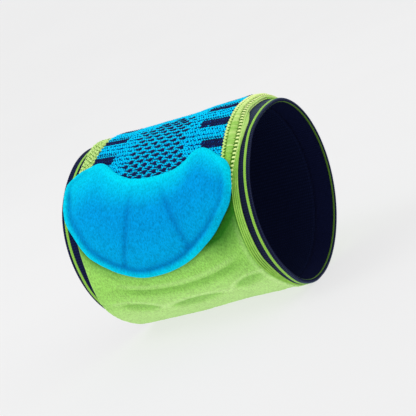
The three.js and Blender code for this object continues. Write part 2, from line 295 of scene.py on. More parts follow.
def finish_mesh(name, points, faces, material, smooth_shade=True, uv=None, extra=None):
    mesh = bpy.data.meshes.new(name)
    points = np.ascontiguousarray(np.asarray(points, np.float32).reshape(-1, 3))
    if volume(points, faces) < 0:
        faces = [f[:, ::-1] for f in faces]
    sizes = np.concatenate([np.full(len(f), f.shape[1], np.int32) for f in faces if len(f)])
    loops = np.concatenate([f.astype(np.int32).ravel() for f in faces if len(f)])
    mesh.vertices.add(len(points))
    mesh.vertices.foreach_set("co", points.ravel())
    mesh.loops.add(len(loops))
    mesh.loops.foreach_set("vertex_index", loops)
    mesh.polygons.add(len(sizes))
    mesh.polygons.foreach_set("loop_start", np.concatenate([[0], np.cumsum(sizes)[:-1]]).astype(np.int32))
    mesh.polygons.foreach_set("loop_total", sizes)
    mesh.polygons.foreach_set("use_smooth", np.full(len(sizes), smooth_shade))
    if uv is not None:
        layer = mesh.uv_layers.new(name="UVMap")
        layer.data.foreach_set("uv", np.asarray(uv, np.float32)[loops].ravel())
    for key, values in (extra or {}).items():
        attribute = mesh.attributes.new(key, "FLOAT", "POINT")
        attribute.data.foreach_set("value", np.asarray(values, np.float32).ravel())
    mesh.update()
    mesh.validate()
    obj = bpy.data.objects.new(name, mesh)
    bpy.context.scene.collection.objects.link(obj)
    mesh.materials.append(material)
    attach(obj, "root")
    PIECES.append(obj)
    return obj


def grid_faces(nu, nv, wrap_u=False, wrap_v=False, offset=0):
    iu = np.arange(nu if wrap_u else nu - 1)
    iv = np.arange(nv if wrap_v else nv - 1)
    u, v = np.meshgrid(iu, iv, indexing="ij")
    u, v = u.ravel(), v.ravel()
    u1, v1 = (u + 1) % nu, (v + 1) % nv
    return offset + np.stack([u * nv + v, u1 * nv + v, u1 * nv + v1, u * nv + v1], 1)


def shell(name, x, angle, outer, inner, material, extra=None, coarse=4):
    """A closed sheet on the sleeve from grids of x, angle and two heights.
    The first index runs along the sleeve, the second round it.  The hidden
    inner face takes only every coarse-th row and column."""
    nu, nv = x.shape
    rows = np.unique(np.append(np.arange(0, nu, coarse), nu - 1))
    cols = np.unique(np.append(np.arange(0, nv, coarse), nv - 1))
    inner = np.broadcast_to(inner, x.shape)
    some = np.ix_(rows, cols)
    points = np.concatenate([place(x, angle, outer).reshape(-1, 3), place(x[some], angle[some], inner[some]).reshape(-1, 3)])
    n = nu * nv
    faces = [grid_faces(nu, nv), grid_faces(len(rows), len(cols), offset=n)[:, ::-1]]
    fine = np.arange(n).reshape(nu, nv)
    low = n + np.arange(len(rows) * len(cols)).reshape(len(rows), len(cols))
    for edge, under, kept, flip in ((fine[0], low[0], cols, True), (fine[-1], low[-1], cols, False),
                                    (fine[:, 0], low[:, 0], rows, False), (fine[:, -1], low[:, -1], rows, True)):
        wall = []
        for k in range(len(kept) - 1):
            first, last = kept[k], kept[k + 1]
            middle = (first + last) // 2
            wall += [(edge[m], edge[m + 1], under[k] if m < middle else under[k + 1]) for m in range(first, last)]
            wall.append((edge[middle], under[k + 1], under[k]))
        wall = np.array(wall)
        faces.append(wall[:, ::-1] if flip else wall)
    faces = [f[:, ::-1] for f in faces]
    uv = np.stack([x, np.deg2rad(angle) * 31.0], -1) * 0.01
    uv = np.concatenate([uv.reshape(-1, 2), uv[some].reshape(-1, 2)])
    both = {}
    for key, values in (extra or {}).items():
        values = np.reshape(values, x.shape)
        both[key] = np.concatenate([values.ravel(), values[some].ravel()])
    return finish_mesh(name, points, faces, material, uv=uv, extra=both)


def ring(name, profile_x, profile_h, angles, material, ripple=None, sway=None, extra=None):
    """A closed ring from a closed profile; ripple(x, h, angle) adds height and
    sway(angle) moves it along the sleeve."""
    px, ph = np.asarray(profile_x, float), np.asarray(profile_h, float)
    x, a = np.meshgrid(px, angles, indexing="ij")
    h = np.repeat(ph[:, None], len(angles), 1)
    if ripple is not None:
        h = h + ripple(x, h, a)
    if sway is not None:
        x = x + sway(a)
    points = place(x, a, h)
    faces = [grid_faces(len(px), len(angles), True, True)]
    arc = np.deg2rad(a) * 31.0
    around = np.cumsum(np.concatenate([[0], np.hypot(np.diff(px), np.diff(ph))]))
    uv = np.stack([np.repeat(around[:, None], len(angles), 1).ravel(), arc.ravel()], 1) * 0.01
    extra = {key: np.repeat(np.asarray(v, float)[:, None], len(angles), 1) for key, v in (extra or {}).items()}
    return finish_mesh(name, points.reshape(-1, 3), faces, material, uv=uv, extra=extra)


def strands(name, xc, ac, hc, turn, length, width, height, bow, material, slot_name,
            sides=6, rings=5, blunt=0.55, tone=None):
    """Many short yarns lying on the sleeve: closed spindles with their centre,
    direction, size, and how much their middle stands up."""
    xc, ac, hc, turn, length, width, height, bow = [
        np.broadcast_to(np.asarray(v, float), np.shape(xc)).ravel()
        for v in (xc, ac, hc, turn, length, width, height, bow)
    ]
    n = len(xc)
    t = np.linspace(-1, 1, rings + 2)[1:-1]
    swell = (1.0 - np.abs(t) ** 2.4) ** blunt
    ang = np.arange(sides) / sides * 2 * np.pi + np.pi / 2
    local_t = np.concatenate([[-1.0], np.repeat(t, sides), [1.0]])
    local_w = np.concatenate([[0.0], (swell[:, None] * np.cos(ang)[None]).ravel(), [0.0]])
    local_h = np.concatenate([[0.0], (swell[:, None] * np.sin(ang)[None]).ravel(), [0.0]])
    m = len(local_t)
    along = 0.5 * length[:, None] * local_t[None]
    across = 0.5 * width[:, None] * local_w[None]
    up = 0.5 * height[:, None] * local_h[None] + bow[:, None] * (1 - local_t[None] ** 2)
    c, s = np.cos(np.deg2rad(turn))[:, None], np.sin(np.deg2rad(turn))[:, None]
    dx, ds = along * c - across * s, along * s + across * c
    x = xc[:, None] + dx
    a = turn_mm(xc[:, None], ac[:, None], ds)
    points = place(x, a, hc[:, None] + up)
    first, last = 0, m - 1
    j = np.arange(sides)
    j1 = (j + 1) % sides
    tris = [np.stack([np.full(sides, first), 1 + j1, 1 + j], 1)]
    base = 1 + (rings - 1) * sides
    tris.append(np.stack([np.full(sides, last), base + j, base + j1], 1))
    quads = [
        np.stack([1 + r * sides + j, 1 + r * sides + j1, 1 + (r + 1) * sides + j1, 1 + (r + 1) * sides + j], 1)
        for r in range(rings - 1)
    ]
    shift = (np.arange(n) * m)[:, None, None]
    tri = (np.concatenate(tris)[None] + shift).reshape(-1, 3)
    quad = (np.concatenate(quads)[None] + shift).reshape(-1, 4)
    extra = None if tone is None else {"tone": np.repeat(np.broadcast_to(tone, n), m)}
    return finish_mesh(name, points.reshape(-1, 3), [tri, quad], material, extra=extra)


def cords(name, lines, radius_w, radius_h, material, sides=8, wobble=None, tone=None):
    """Thin round cords along lines of (x, angle, height) grids, with closed ends."""
    points, tris, quads, tones, start = [], [], [], [], 0
    for x, a, h in lines:
        n = len(x)
        ang = np.arange(sides) / sides * 2 * np.pi
        ends = np.minimum(np.arange(n), np.arange(n)[::-1]) / 4.0
        grow = np.sqrt(np.clip(1 - (1 - np.clip(ends, 0.08, 1.0)) ** 2, 0, 1))
        if wobble is not None:
            grow = grow * wobble(x, a)
        X = x[:, None] + (np.zeros(n) + radius_w)[:, None] * grow[:, None] * np.cos(ang)[None]
        H = h[:, None] + (np.zeros(n) + radius_h)[:, None] * grow[:, None] * np.sin(ang)[None]
        A = np.repeat(a[:, None], sides, 1)
        p = place(X, A, H).reshape(-1, 3)
        c0, c1 = place(x[0], a[0], h[0]), place(x[-1], a[-1], h[-1])
        points += [p, c0[None], c1[None]]
        if tone is not None:
            t = tone(a)
            tones += [np.repeat(t, sides), t[:1], t[-1:]]
        quads.append(grid_faces(n, sides, False, True, start))
        j = np.arange(sides)
        tris.append(np.stack([np.full(sides, start + n * sides), start + j, start + (j + 1) % sides], 1))
        last = start + (n - 1) * sides
        tris.append(np.stack([np.full(sides, start + n * sides + 1), last + (j + 1) % sides, last + j], 1))
        start += n * sides + 2
    return finish_mesh(name, np.concatenate(points), [np.concatenate(tris), np.concatenate(quads)], material,
                       extra={"tone": np.concatenate(tones)} if tones else None)


# ------------------------------------------------------------------ materials
def colour(r, g, b):
    c = np.array([r, g, b], float) / 255.0
    lin = np.where(c <= 0.04045, c / 12.92, ((c + 0.055) / 1.055) ** 2.4)
    return (float(lin[0]), float(lin[1]), float(lin[2]), 1.0)


class Nodes:
    """Small helper to wire a material's node tree."""

    def __init__(self, name):
        self.material = bpy.data.materials.new(name)
        self.material.use_nodes = True
        self.tree = self.material.node_tree
        self.shader = next(n for n in self.tree.nodes if n.type == "BSDF_PRINCIPLED")
        self.coords = self.tree.nodes.new("ShaderNodeTexCoord")

    def new(self, kind, **settings):
        node = self.tree.nodes.new(kind)
        for key, value in settings.items():
            setattr(node, key, value)
        return node

    def link(self, a, b):
        self.tree.links.new(a, b)

    def set(self, **values):
        for key, value in values.items():
            self.shader.inputs[key.replace("_", " ")].default_value = value

    def stretched(self, space, scale):
        m = self.new("ShaderNodeMapping")
        m.inputs["Scale"].default_value = scale
        self.link(self.coords.outputs[space], m.inputs["Vector"])
        return m.outputs["Vector"]

    def noise(self, scale, detail=3.0, rough=0.55, space="Object", stretch=None):
        n = self.new("ShaderNodeTexNoise")
        n.inputs["Scale"].default_value = scale
        n.inputs["Detail"].default_value = detail
        n.inputs["Roughness"].default_value = rough
        source = self.coords.outputs[space] if stretch is None else self.stretched(space, stretch)
        self.link(source, n.inputs["Vector"])
        return n.outputs["Fac"]

    def ramp(self, factor, stops):
        r = self.new("ShaderNodeValToRGB")
        e = r.color_ramp.elements
        while len(e) < len(stops):
            e.new(0.5)
        for item, (pos, col) in zip(e, stops):
            item.position, item.color = pos, col
        self.link(factor, r.inputs["Fac"])
        return r.outputs["Color"]

    def mix(self, factor, a, b, blend="MIX"):
        m = self.new("ShaderNodeMix", data_type="RGBA", blend_type=blend)
        for value, socket in ((factor, m.inputs["Factor"]), (a, m.inputs[6]), (b, m.inputs[7])):
            if isinstance(value, (int, float, tuple)):
                socket.default_value = value
            else:
                self.link(value, socket)
        return m.outputs[2]

    def math(self, op, a, b=0.0, clamp=False):
        m = self.new("ShaderNodeMath", operation=op, use_clamp=clamp)
        for value, socket in ((a, m.inputs[0]), (b, m.inputs[1])):
            if isinstance(value, (int, float)):
                socket.default_value = value
            else:
                self.link(value, socket)
        return m.outputs[0]

    def attribute(self, name):
        return self.new("ShaderNodeAttribute", attribute_name=name).outputs["Fac"]

    def bump(self, heights):
        """heights: (socket, strength, distance in metres), stacked."""
        normal = None
        for socket, strength, distance in heights:
            b = self.new("ShaderNodeBump")
            b.inputs["Strength"].default_value = strength
            b.inputs["Distance"].default_value = distance
            self.link(socket, b.inputs["Height"])
            if normal is not None:
                self.link(normal, b.inputs["Normal"])
            normal = b.outputs["Normal"]
        self.link(normal, self.shader.inputs["Normal"])

    def colour(self, socket):
        self.link(socket, self.shader.inputs["Base Color"])


def velour(name, dark, mid, light, tint, sheen):
    """Short pile with fine grain; an attribute makes it darker with a painted shade colour (partly compressed pile),
    another lighter with a painted highlight colour.
    """
    m = Nodes(name)
    fine, broad = m.noise(2500, 3.0, 0.6, stretch=(1.0, 0.5, 0.5)), m.noise(240, 2.0, 0.5)
    speck = m.math("ADD", m.math("MULTIPLY", fine, 0.84), m.math("MULTIPLY", broad, 0.16))
    base = m.ramp(speck, [(0.385, tuple(0.77 * c for c in mid[:3]) + (1,)), (0.50, mid), (0.615, tuple(min(1.0, 1.2 * c) for c in mid[:3]) + (1,))])
    # painted highlight: the light colour is mixed in where light and sheen fall
    painted_highlight = m.mix(m.attribute("painted_highlight"), base, m.ramp(speck, [(0.38, tuple(0.76 * c for c in light[:3]) + (1,)), (0.59, light)]))
    # painted shade: the dark colour is mixed in where shade falls and, in the tab's grooves, where the pile is
    # compressed
    m.colour(m.mix(m.attribute("pressed_and_shade"), painted_highlight, m.ramp(speck, [(0.36, tuple(0.75 * c for c in dark[:3]) + (1,)), (0.62, dark)])))
    m.set(Roughness=0.92, Sheen_Weight=sheen, Sheen_Roughness=0.42, Sheen_Tint=tint, Specular_IOR_Level=0.03)
    m.bump([(m.noise(1300, 3.0, 0.6), 0.30, 0.0004), (m.noise(3400, 2.0, 0.6), 0.55, 0.00022)])
    return m.material


def yarn(name, dark, light, sheen=0.25, twist=5200, rough=0.72, tint=(1, 1, 1, 1), shine=0.2, pale=None, painted_glow=None, power=0.11):
    """Multi-filament yarn: fine fibre lines, uneven dye, and a pale colour mixed in by the tone attribute, which is
    painted light where light falls on it.
    """
    m = Nodes(name)
    fibre = m.noise(twist, 3.0, 0.6)
    dye = m.noise(420, 2.0, 0.5)
    both = m.math("ADD", m.math("MULTIPLY", fibre, 0.6), m.math("MULTIPLY", dye, 0.4))
    face = m.ramp(both, [(0.33, dark), (0.66, light)])
    if pale is not None:
        face = m.mix(m.attribute("tone"), face, m.ramp(both, [(0.33, tuple(0.84 * c for c in pale[:3]) + (1,)), (0.66, pale)]))
    m.colour(face)
    m.set(Roughness=rough, Sheen_Weight=sheen, Sheen_Roughness=0.4, Sheen_Tint=tint, Specular_IOR_Level=shine)
    if painted_glow is not None:  # painted glow: emission that brightens the yarn beyond what the lamps give
        m.set(Emission_Color=painted_glow, Emission_Strength=power)
    m.bump([(fibre, 0.5, 0.00012)])
    return m.material


def woven(name, dark, light, across, along, sheen=0.2, rough=0.78, deep=None, shine=0.2, tint=(1, 1, 1, 1)):
    """Woven or ribbed tape: ribs both ways from the tape's own coordinates.
    Its face inside the sleeve takes the deep colour and no sheen, a painted shade matched to the lining."""
    m = Nodes(name)
    ribs = m.new("ShaderNodeTexWave", wave_type="BANDS", bands_direction="Y", wave_profile="SIN")
    ribs.inputs["Scale"].default_value = across
    ribs.inputs["Distortion"].default_value = 0.6
    m.link(m.coords.outputs["UV"], ribs.inputs["Vector"])
    weft = m.new("ShaderNodeTexWave", wave_type="BANDS", bands_direction="X", wave_profile="SIN")
    weft.inputs["Scale"].default_value = along
    weft.inputs["Distortion"].default_value = 0.8
    m.link(m.coords.outputs["UV"], weft.inputs["Vector"])
    weave = m.math("MULTIPLY", ribs.outputs["Fac"], weft.outputs["Fac"])
    fibre = m.noise(4200, 3.0, 0.6)
    tone = m.math("ADD", m.math("MULTIPLY", weave, 0.55), m.math("MULTIPLY", fibre, 0.45))
    face = m.ramp(tone, [(0.18, dark), (0.62, light)])
    if deep is not None:
        half = tuple(0.55 * c for c in deep[:3]) + (1,)
        face = m.mix(m.attribute("inside"), face, m.ramp(tone, [(0.18, half), (0.62, deep)]))
    m.colour(face)
    m.set(Roughness=rough, Sheen_Weight=sheen, Sheen_Roughness=0.45, Sheen_Tint=tint, Specular_IOR_Level=shine)
    # no sheen on the inside: painted shade
    if deep is not None:
        outside = m.math("SUBTRACT", 1.0, m.attribute("inside"))
        m.link(m.math("MULTIPLY", outside, sheen), m.shader.inputs["Sheen Weight"])
    m.bump([(weave, 0.5, 0.00018), (fibre, 0.3, 0.0001)])
    return m.material


# the velours' dark colours are painted shade and their light colours painted highlight
MAT_TAB = velour("blue_velour", colour(0, 106, 184), colour(0, 152, 222), colour(0, 226, 255), (0.0, 0.8, 1.0, 1), 0.3)
MAT_VELOUR = velour("green_velour", colour(48, 126, 30), colour(154, 218, 94), colour(204, 248, 154), (0.85, 1.0, 0.6, 1), 0.35)
# painted glow: the cyan yarn, the satin and the cream yarn carry emission
MAT_KNIT = yarn("cyan_yarn", colour(0, 206, 255), colour(0, 232, 255), sheen=0.9, tint=(0.0, 0.6, 1.0, 1), shine=0.04, painted_glow=(0.0, 0.44, 1.0, 1))
MAT_NAVY_YARN = yarn("navy_yarn", colour(6, 13, 54), colour(18, 30, 94), sheen=0.06, shine=0.05)
MAT_GROUND = yarn("knit_ground", colour(0, 128, 206), colour(0, 158, 232), sheen=0.1, tint=(0.0, 0.6, 1.0, 1), shine=0.02)
MAT_DOT = yarn("blue_shade", colour(0, 34, 102), colour(0, 54, 136), sheen=0.0, shine=0.02)
MAT_FLECK = yarn("blue_fleck", colour(18, 60, 140), colour(34, 92, 176), sheen=0.0, shine=0.03)
# the pale colours on these yarns are painted light, mixed in by the tone attribute
MAT_BORDER_GROUND = yarn("lime_ground", colour(84, 142, 38), colour(118, 178, 60), sheen=0.05, pale=colour(206, 242, 140))
# the eyelet colour is painted shade in the holes
MAT_EYELET = yarn("lime_shade", colour(44, 100, 14), colour(74, 138, 32), sheen=0.0, shine=0.03)
MAT_BORDER_FAR = yarn("lime_ground_far", colour(164, 212, 94), colour(196, 234, 126), sheen=0.1)
MAT_LIME = yarn("lime_knit", colour(184, 228, 112), colour(220, 248, 160), tint=(0.9, 1.0, 0.7, 1))
MAT_SATIN = yarn("lime_satin", colour(112, 176, 54), colour(150, 206, 86), tint=(0.75, 1.0, 0.4, 1), shine=0.08, pale=colour(236, 255, 170), painted_glow=(0.6, 1.0, 0.2, 1), power=0.08)
MAT_CREAM = yarn("cream_yarn", colour(178, 222, 98), colour(214, 244, 144), tint=(0.8, 1.0, 0.5, 1), shine=0.08, pale=colour(246, 255, 184), painted_glow=(0.8, 1.0, 0.3, 1), power=0.10)
MAT_SEAM = yarn("lime_thread", colour(134, 194, 72), colour(176, 226, 106), tint=(0.75, 1.0, 0.4, 1), shine=0.08, pale=colour(204, 244, 140))
MAT_STRIPE = woven("lime_stripe", colour(126, 188, 54), colour(168, 218, 92), 62, 70)
# a darker copy of the lime stripe for its face inside the sleeve: painted shade
MAT_STRIPE_SHADED = woven("lime_stripe_shaded_inside", colour(70, 108, 24), colour(104, 150, 44), 62, 70, sheen=0.05)
MAT_BAND = woven("navy_elastic", colour(6, 8, 26), colour(23, 29, 68), 38, 55, sheen=0.50, deep=colour(18, 24, 60), shine=0.04, tint=(0.45, 0.62, 1.0, 1))
MAT_BAND_FAR = woven("navy_elastic_far", colour(8, 11, 38), colour(26, 33, 84), 38, 55, sheen=0.07, deep=colour(18, 24, 60), shine=0.04, tint=(0.45, 0.62, 1.0, 1))
MAT_LINING = woven("navy_lining", colour(13, 18, 42), colour(22, 29, 62), 26, 40, sheen=0.0, rough=0.95, shine=0.02)

# ------------------------------------------------------------------ lining
ANGLES = np.arange(720) * 0.5


def hoop(count):
    return np.arange(count) * (360.0 / count)


def knit_crown(x, angle):
    """The knit stands up a little more along the top."""
    near = (0.5 + 0.15 * smooth(x, 57.0, 62.0)) * smooth(x, 40.0, 50.0) * (1 - smooth(x, 64.0, 68.0))
    far = 0.4 * (1 - smooth(x, 10.0, 17.0))
    return near * (1 - smooth(np.abs(angle + 8.0), 14.0, 46.0)) + far * (1 - smooth(np.abs(angle + 14.0), 10.0, 28.0))


def flat_length(x):
    """Girth of the sleeve in metres at a distance along it."""
    p = place(np.full(361, x), np.linspace(0, 360, 361), 0.0)
    return float(np.linalg.norm(np.diff(p, axis=0), axis=1).sum())


low, high = BAND_WIDTH + 0.02, LENGTH - BAND_WIDTH - 0.02
inside = np.linspace(high, low, 44)
outside = np.linspace(low, high, 3)
lining = ring(
    "lining_cloth",
    np.concatenate([outside, inside]),
    np.concatenate([np.full(3, -0.34), np.full(44, -WALL)]),
    hoop(640),
    MAT_LINING,
    lambda x, h, a: np.where(h < -0.8, 0.05 * np.cos(np.deg2rad(a) * 160) + 0.03 * np.cos(x * 2 * np.pi / 2.3), 0.0),
)
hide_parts("lining")

# ------------------------------------------------------------------ end bands
def band_profile(end):
    """Closed profile with rounded rim corners, as distances along and heights."""
    r = 0.36
    turn = np.deg2rad(np.linspace(0, 90, 6))
    s = np.concatenate([
        np.linspace(BAND_WIDTH - 0.04, r + 0.15, 7), r - r * np.sin(turn), r - r * np.cos(turn),
        np.linspace(r + 0.15, BAND_WIDTH - 0.04, 7), [BAND_WIDTH, BAND_WIDTH],
    ])
    h = np.concatenate([
        np.full(7, -WALL), -WALL + r - r * np.cos(turn), -r + r * np.sin(turn), np.zeros(7), [-0.1, -WALL + 0.1],
    ])
    return (s, h) if end == "far" else (LENGTH - s, h)


def band_ripple(x, h, a):
    ribs = np.cos(np.deg2rad(a) * 240 + 0.35 * np.sin(x * 1.7))
    return np.where(h > -0.2, 0.045 * ribs, np.where(h < 0.2 - WALL, -0.045 * ribs, 0.0))


def far_sway(a):
    """The far stripe wanders off from the rim near the top."""
    return 1.25 * (1 - smooth(np.abs((a - 22.0 + 180.0) % 360.0 - 180.0), 10.0, 34.0)) - 0.25 * smooth(a, 92.0, 106.0) * (1 - smooth(a, 160.0, 200.0))


def near_sway(a):
    """The near stripe runs closer to the rim near the top."""
    return 0.2 + 0.42 * (1 - smooth(np.abs((a - 2.0 + 180.0) % 360.0 - 180.0), 12.0, 52.0))


SWAY = {("far", "outer"): far_sway, ("near", "outer"): near_sway}
for end in ("far", "near"):
    px, ph = band_profile(end)
    # painted shade: the inside attribute gives the inner face and part of the rim's end face the deep colour and no
    # sheen
    band = ring("band_" + end, px, ph, hoop(960), MAT_BAND if end == "near" else MAT_BAND_FAR, band_ripple,
                extra={"inside": smooth(-ph, 0.05, 0.7)})
    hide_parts("edge_band_" + end)
    for side, (s_from, s_to) in (("outer", STRIPE_OUTER), ("inner", STRIPE_INNER)):
        t = np.linspace(-1, 1, 11)
        s = s_from + (s_to - s_from) * (t + 1) / 2
        x = s if end == "far" else LENGTH - s
        face = 0.075 * np.sqrt(np.clip(1 - t**4, 0, 1)) + 0.025 * np.cos(t * np.pi * 2.5) ** 2
        if side == "outer":
            loop_h = np.append(face, [-0.1, -0.1])
        else:
            loop_h = np.append(-WALL - face, [-WALL + 0.1, -WALL + 0.1])
        stripe = ring(
            "stripe_%s_%s" % (end, side), np.append(x, x[[-1, 0]]), loop_h, hoop(720),
            MAT_STRIPE if side == "outer" else MAT_STRIPE_SHADED,
            lambda x, h, a: np.where(h > 0, 0.02, np.where(h < -WALL, -0.02, 0.0)) * np.cos(np.deg2rad(a) * 240 + x * 3.0),
            SWAY.get((end, side)),
        )

# ------------------------------------------------------------------ knit panel
KNIT_OUT = 2.0
COURSE, WALE, SKEW = 0.925, 0.93, 0.18  # stitch sizes in mm; the knit runs askew
# wale number and its angle: the stitches are drawn together towards the tab
WALES = ((-70, -89.5), (-12, 9.1), (-8, 16.0), (-4, 23.1), (0, 30.2), (4, 36.5), (8, 42.3), (12, 47.4), (20, 57.0), (32, 71.0))

v = np.linspace(KNIT_FROM, KNIT_TO, 160)
edges = column(KNIT_EDGES, v)
u = np.linspace(0, 1, 60)
gx = edges[1][None] + (edges[2] - edges[1])[None] * u[:, None]
ga = np.repeat(v[None], len(u), 0)
near_edge = np.minimum(gx - edges[1][None], edges[2][None] - gx)
ground_h = KNIT_OUT - 0.44 + knit_crown(gx, ga) - 0.5 * (1 - smooth(near_edge, 0.0, 1.0))
under = np.where((gx > 11.5) & (gx < 57.5), 0.0, 0.3)
knit = shell("knit_ground", gx, ga, ground_h, under, MAT_GROUND)
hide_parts("knit_panel")
knit_length = float(np.linalg.norm(np.diff(place(np.full(160, 35.0), v, 1.0), axis=0), axis=1).sum())

NEAR_BARS = ((30.9, 52.2), (13.4, 50.1), (-2.8, 49.6), (-19.8, 51.4), (-36.8, 50.3), (-53.8, 51.4), (-70.8, 50.3))
FAR_BARS = ((32.6, 19.4), (14.3, 20.4), (-4.5, 19.6), (-24.0, 20.5), (-43.5, 19.6), (-63.0, 20.5))


def bar_cells(x, k, w):
    """Navy bars that run in from both sides, with blunt, slightly toothed ends."""
    hit = np.zeros(np.shape(x), bool)
    for bars, half, inward in ((NEAR_BARS, 2.75, 1.0), (FAR_BARS, 2.6, -1.0)):
        for centre, start in bars:
            hit |= (inward * (x - start) - 0.45 * (w % 2) > 0) & (np.abs(k - centre) < half)
    return hit


def in_field(x, a, grow=0.0):
    """The starred field in the middle of the knit."""
    left = 25.9 - 1.3 * smooth(a, 33.0, 39.0) - grow
    right = 46.1 + 1.6 * smooth(a, 38.0, 42.0) + grow
    top = -0.5 + 7.0 * smooth(np.abs(x - 38.2), 2.0, 12.0) - grow * 1.7
    return (x > left) & (x < right) & (a > top)


ci, wj = np.meshgrid(np.arange(6, 68), np.arange(-70, 33), indexing="ij")
wale_no, wale_at = np.array(WALES, float).T
sk = np.interp(wj, wale_no, wale_at)
sx = 2.90 + (ci + 0.5 * (wj % 2)) * COURSE + 0.017 * np.clip(sk - 36.0, -40.0, 20.0)
sa = sk + SKEW * (sx - 35.0)
se = column(KNIT_EDGES, sa)
tab_top = column(TAB_OUTLINE, np.clip(sx, 2.9, 65))[0]
covered = (sx > 3.5) & (sx < 64.5) & (sa > tab_top + 4.5)
keep = (sx > se[1] + 0.3) & (sx < se[2] - 0.3) & (sa > KNIT_FROM + 0.8) & (sa < KNIT_TO - 0.8) & ~covered
sx, sk, sa, ci, wj = sx[keep], sk[keep], sa[keep], ci[keep], wj[keep]
site = ((wj % 4 == 0) & (ci % 4 == 2)) | ((wj % 4 == 2) & (ci % 4 == 0))
is_star = site & in_field(sx, sa)
edge_jitter = 0.06 * rng.normal(0, 1, len(sx))
is_bar = bar_cells(sx, sk + edge_jitter, wj) & ~is_star
is_dot = site & ~is_star & ~is_bar & in_field(sx, sa, 3.0) & (rng.random(len(sx)) < 0.5)
star_cells = set(zip(ci[is_star].tolist(), wj[is_star].tolist()))
beside_star = np.array([(i + 1, w) in star_cells for i, w in zip(ci.tolist(), wj.tolist())]) & ~is_star & ~is_bar
level = KNIT_OUT - 0.36 + knit_crown(sx, sa)
jitter = rng.normal(0, 1, (4, len(sx)))


def legs(pick):
    """Both legs of each picked stitch: centre, angle, height and direction."""
    half = np.array([-1.0, 1.0])
    x0 = np.repeat(sx[pick] + jitter[0, pick] * 0.025, 2)
    a0 = turn_mm(x0, np.repeat(sa[pick], 2), np.tile(half * WALE * 0.25, pick.sum()) + np.repeat(jitter[3, pick], 2) * 0.02)
    turn = np.tile(half * 27.0, pick.sum()) + np.repeat(jitter[1, pick], 2) * 4.0 + math.degrees(SKEW * 0.58)
    return x0, a0, np.repeat(level[pick] + jitter[2, pick] * 0.03, 2), turn


strands("knit_stitches_blue", *legs(~is_bar & ~is_star & ~is_dot & ~beside_star), COURSE * 1.26, WALE * 0.50, 0.42, 0.12,
        MAT_KNIT, "knit_blue", sides=4, rings=3, blunt=0.5)
# dark blue dots lie in rows between the stitches, unevenly, with bluer flecks on the bars
row = (wj % 2 == 0) & ~is_star & ~beside_star & ~is_dot
quiet = in_field(sx, sa, 0.6)
foot = row & (rng.random(len(sx)) < np.where(is_bar, 0.8, np.where(quiet, 0.8, 0.92)))
size = np.where(is_bar, 0.66, np.where(quiet, 0.78, 1.0)) * np.clip(1 + 0.22 * jitter[1], 0.5, 1.5)
for name, pick, cloth in (("knit_stitches_deep", foot & ~is_bar, MAT_DOT), ("knit_flecks", foot & is_bar, MAT_FLECK)):
    strands(name, (sx + 0.5 * COURSE * ((wj // 2) % 2) + 0.18 * jitter[0])[pick], turn_mm(sx, sa, 0.16 * jitter[3])[pick],
            (level + 0.28 - 0.16 * (1 - smooth(sa, 0.0, 10.0)))[pick], (8.0 + 10.0 * jitter[2])[pick], 0.60 * size[pick], 0.54 * size[pick], 0.34, 0.02,
            cloth, "knit_blue", sides=5, rings=3, blunt=0.6)
x0, a0, h0, turn = legs(is_bar)
n_bar, n_dot = len(x0), int(is_dot.sum())
# each star: a blob of crossing stitches and a float to its left
star_parts = ((0.0, 0.0, 40.0, 2.3, 1.40), (0.0, 0.0, -34.0, 2.25, 1.30), (-1.25, -0.10, 4.0, 2.2, 0.52))
xs, as_, hs, ts, ls, ws = [x0], [a0], [h0 + 0.02], [turn], [np.full(n_bar, COURSE * 1.5)], [np.full(n_bar, WALE * 0.56)]
for dx, ds, tilt, long, wide in star_parts:
    wob = rng.normal(0, 1, (3, int(is_star.sum())))
    x0 = sx[is_star] + dx + 0.06 * wob[0]
    xs.append(x0)
    as_.append(turn_mm(x0, sa[is_star], ds + 0.05 * wob[1]))
    hs.append(level[is_star] + 0.15 + 0.12 * (1 - smooth(sa[is_star], 2.0, 18.0)))
    ts.append(tilt + math.degrees(SKEW * 0.58) + 5.0 * wob[2])
    ls.append(np.full(len(x0), long))
    ws.append(np.full(len(x0), wide))
# teeth along the upper edge of the bars
cells = set(zip(ci[is_bar].tolist(), wj[is_bar].tolist()))
tooth = np.array([(i, w + 1) in cells for i, w in zip(ci.tolist(), wj.tolist())]) & ~is_bar & ~is_star
xs.append(sx[tooth]); as_.append(turn_mm(sx[tooth], sa[tooth], -0.22)); hs.append(level[tooth] + 0.16)
ts.append(np.full(int(tooth.sum()), 8.0)); ls.append(np.full(int(tooth.sum()), 0.56)); ws.append(np.full(int(tooth.sum()), 0.62))
xs.append(sx[is_dot]); as_.append(sa[is_dot]); hs.append(level[is_dot] + 0.05)
ts.append(np.full(n_dot, 8.0)); ls.append(np.full(n_dot, 0.85)); ws.append(np.full(n_dot, 0.46))
strands("knit_stitches_navy", np.concatenate(xs), np.concatenate(as_), np.concatenate(hs), np.concatenate(ts),
        np.concatenate(ls), np.concatenate(ws), 0.40, 0.09, MAT_NAVY_YARN, "elastic_navy", sides=5, rings=3, blunt=0.6)

# ------------------------------------------------------------------ borders
PITCH = 1.2  # stitch pitch along the borders, mm


def arc_steps(x, start, stop, pitch):
    """Angles at even distances along the sleeve's girth."""
    fine = np.linspace(start, stop, 1200)
    p = place(np.full(1200, x), fine, 1.5)
    run = np.concatenate([[0], np.cumsum(np.linalg.norm(np.diff(p, axis=0), axis=1))]) * 1000
    count = int(run[-1] / pitch)
    return np.interp((np.arange(count) + 0.5) * pitch, run, fine)


def upper(a):
    """Painted light on the near border: palest over the top, where the light falls."""
    return np.clip(1.0 - 0.68 * smooth(a, -6.0, 20.0) - 0.32 * smooth(a, 24.0, 46.0), 0, 1)


